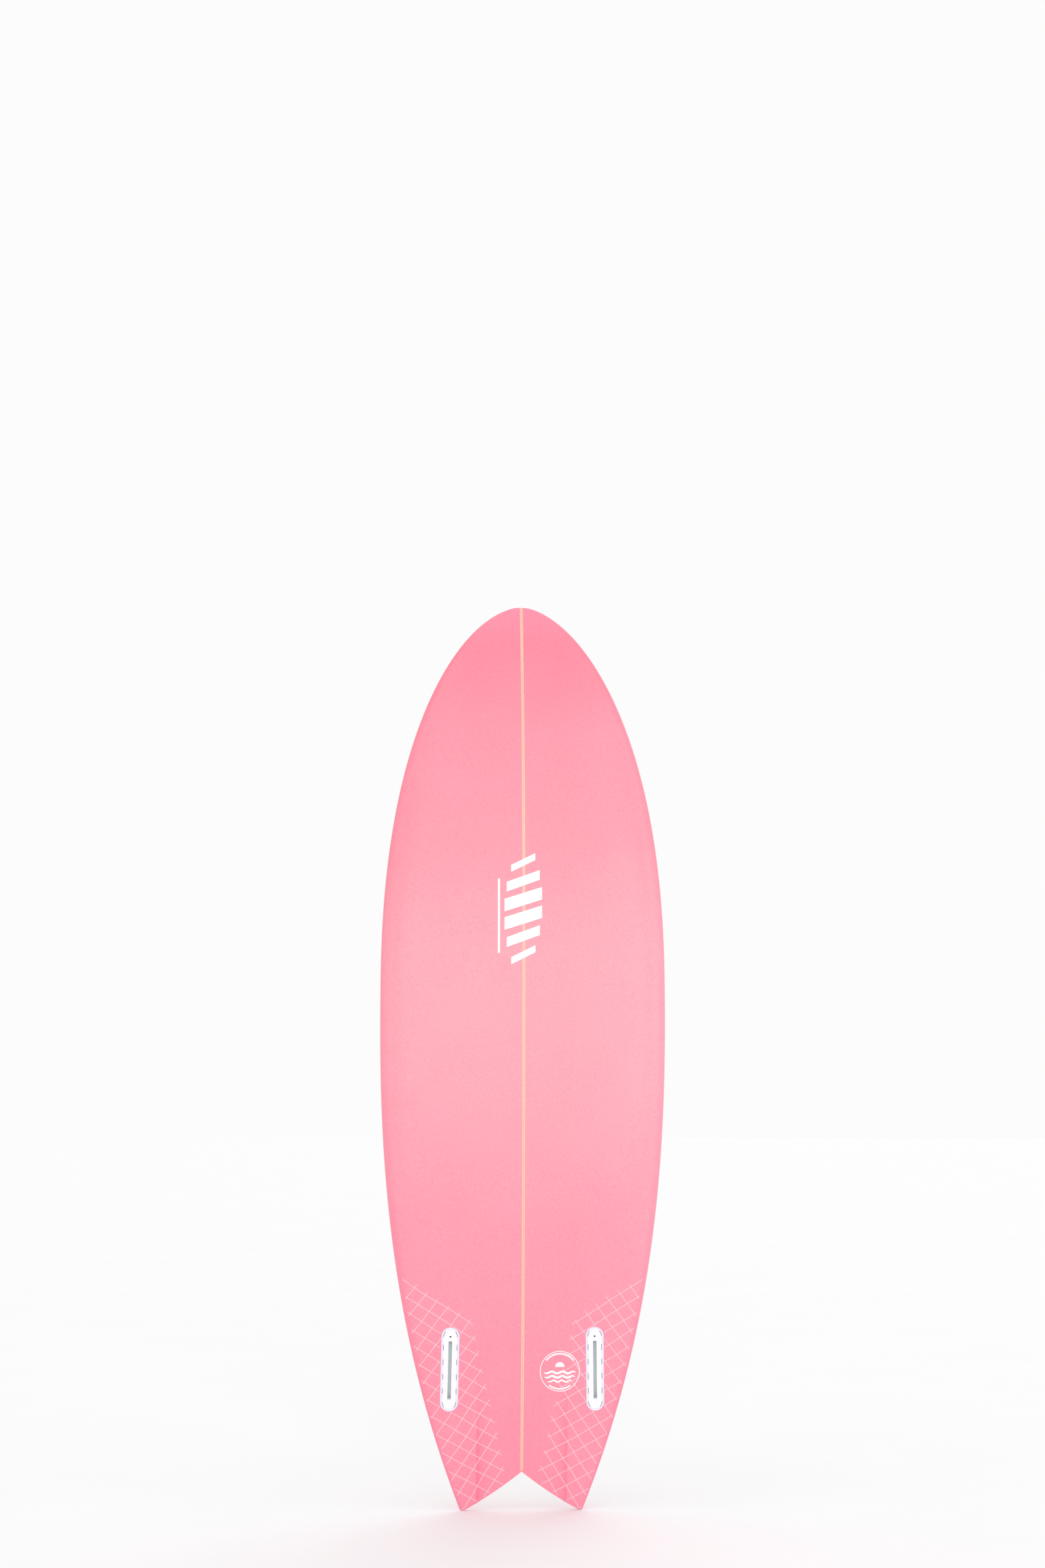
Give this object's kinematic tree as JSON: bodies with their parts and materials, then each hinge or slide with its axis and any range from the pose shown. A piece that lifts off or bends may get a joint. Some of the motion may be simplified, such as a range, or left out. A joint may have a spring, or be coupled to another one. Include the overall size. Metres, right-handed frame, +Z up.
{
  "type": "surfboard",
  "caption": "Short swallow-tail twin-fin surfboard, foam core with wooden stringer and glassed skins, two click-in fin boxes and a leash plug",
  "frame": {"origin": "bottom centre of the board's box as it stands on its two tail tips", "axes": "+Z up from the tail to the nose, +X across the board, -Y out of the bottom and +Y out of the deck"},
  "size_m": [0.514, 0.1285, 1.6352],
  "materials": {
    "foam": "closed-cell foam, sanded",
    "stringer_wood": "thin wooden strip, clear coated",
    "bottom_glass": "pink fibreglass laminate with a sanded gloss coat",
    "deck_glass": "clear fibreglass laminate over white foam",
    "box_face": "moulded white nylon, sanded flush",
    "box_base": "moulded grey-blue nylon",
    "resin": "cured resin",
    "plug_plastic": "moulded white plastic",
    "steel": "stainless steel"
  },
  "bodies": {
    "board": {"foam_left": "foam", "foam_right": "foam", "foam_tail_left": "foam", "foam_tail_right": "foam", "stringer": "stringer_wood", "bottom_laminate": "bottom_glass", "tail_laminate": "bottom_glass", "deck_laminate": "deck_glass", "leash_cup": "plug_plastic", "leash_bar": "steel", "leash_cup_resin": "resin", "fin_box_left": "box_face", "fin_box_base_left": "box_base", "fin_box_resin_left": "resin", "fin_box_right": "box_face", "fin_box_base_right": "box_base", "fin_box_resin_right": "resin"},
    "roller_left": {"fin_roller_left": "steel", "roller_spring_left": "steel"},
    "screw_left": {"fin_screw_left": "steel"},
    "roller_right": {"fin_roller_right": "steel", "roller_spring_right": "steel"},
    "screw_right": {"fin_screw_right": "steel"}
  },
  "joints": [
    {"name": "roller_press_left", "type": "slide", "parent": "board", "child": "roller_left", "axis": [-0.0166, 0.0916, -0.9957], "range_m": [0, 0.0016], "stiffness_N_per_m": 1500, "springref_m": -0.001, "deforming": ["roller_spring_left"]},
    {"name": "screw_drive_left", "type": "slide", "parent": "board", "child": "screw_left", "axis": [0, 0.9958, 0.0916], "range_m": [0, 0.003]},
    {"name": "roller_press_right", "type": "slide", "parent": "board", "child": "roller_right", "axis": [0.0166, 0.0916, -0.9957], "range_m": [0, 0.0016], "stiffness_N_per_m": 1500, "springref_m": -0.001, "deforming": ["roller_spring_right"]},
    {"name": "screw_drive_right", "type": "slide", "parent": "board", "child": "screw_right", "axis": [0, 0.9958, 0.0916], "range_m": [0, 0.003]}
  ]
}
